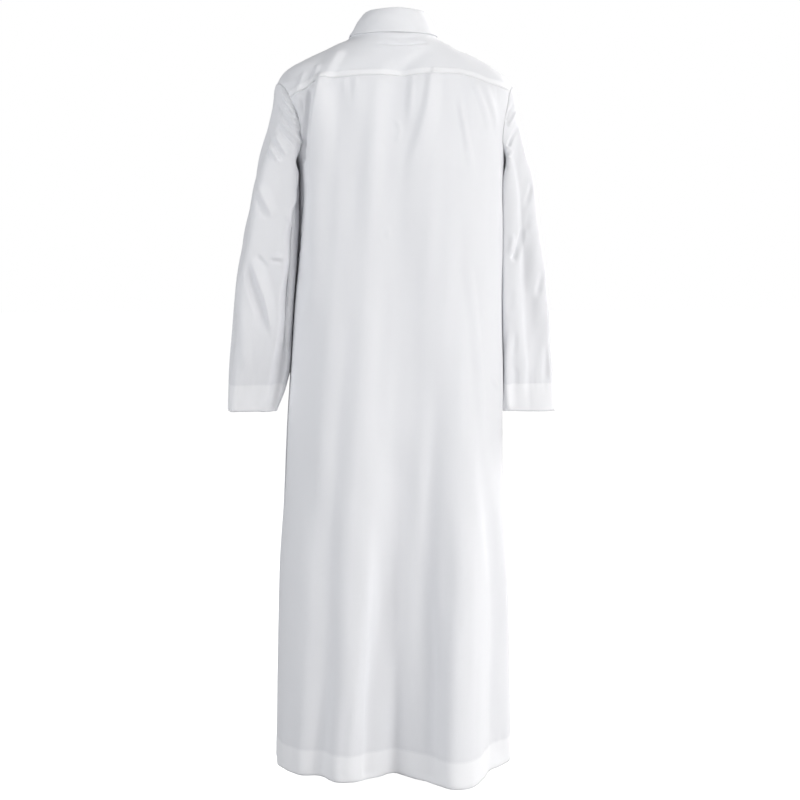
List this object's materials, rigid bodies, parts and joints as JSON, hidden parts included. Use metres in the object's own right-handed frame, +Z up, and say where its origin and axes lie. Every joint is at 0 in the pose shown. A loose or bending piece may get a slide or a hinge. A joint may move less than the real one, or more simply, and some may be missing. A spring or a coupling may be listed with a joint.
{
  "type": "thobe robe",
  "caption": "Ankle-length straight robe with a shirt collar, shoulder yoke, long sleeves and buttoned neck placket, hollow as worn.",
  "frame": {"origin": "middle of the neck opening at the neck seam, where the wearer's neck and shoulders hold the robe", "axes": "+Z up along the wearer, +Y the way the wearer faces, +X to the wearer's right"},
  "size_m": [0.6349, 0.3898, 1.4235],
  "materials": {
    "cloth": "plain white dress cloth, smooth weave, matt",
    "buttons": "white pearly shirt buttons"
  },
  "bodies": {
    "root": {"back": "cloth", "front": "cloth", "yoke": "cloth", "sleeve_left": "cloth", "sleeve_right": "cloth", "cuff_hem_left": "cloth", "cuff_hem_right": "cloth", "hem_turnup": "cloth", "collar_stand": "cloth", "collar_leaf": "cloth", "placket": "cloth", "button_1": "buttons", "button_2": "buttons", "button_3": "buttons", "button_4": "buttons", "button_5": "buttons"}
  },
  "joints": []
}
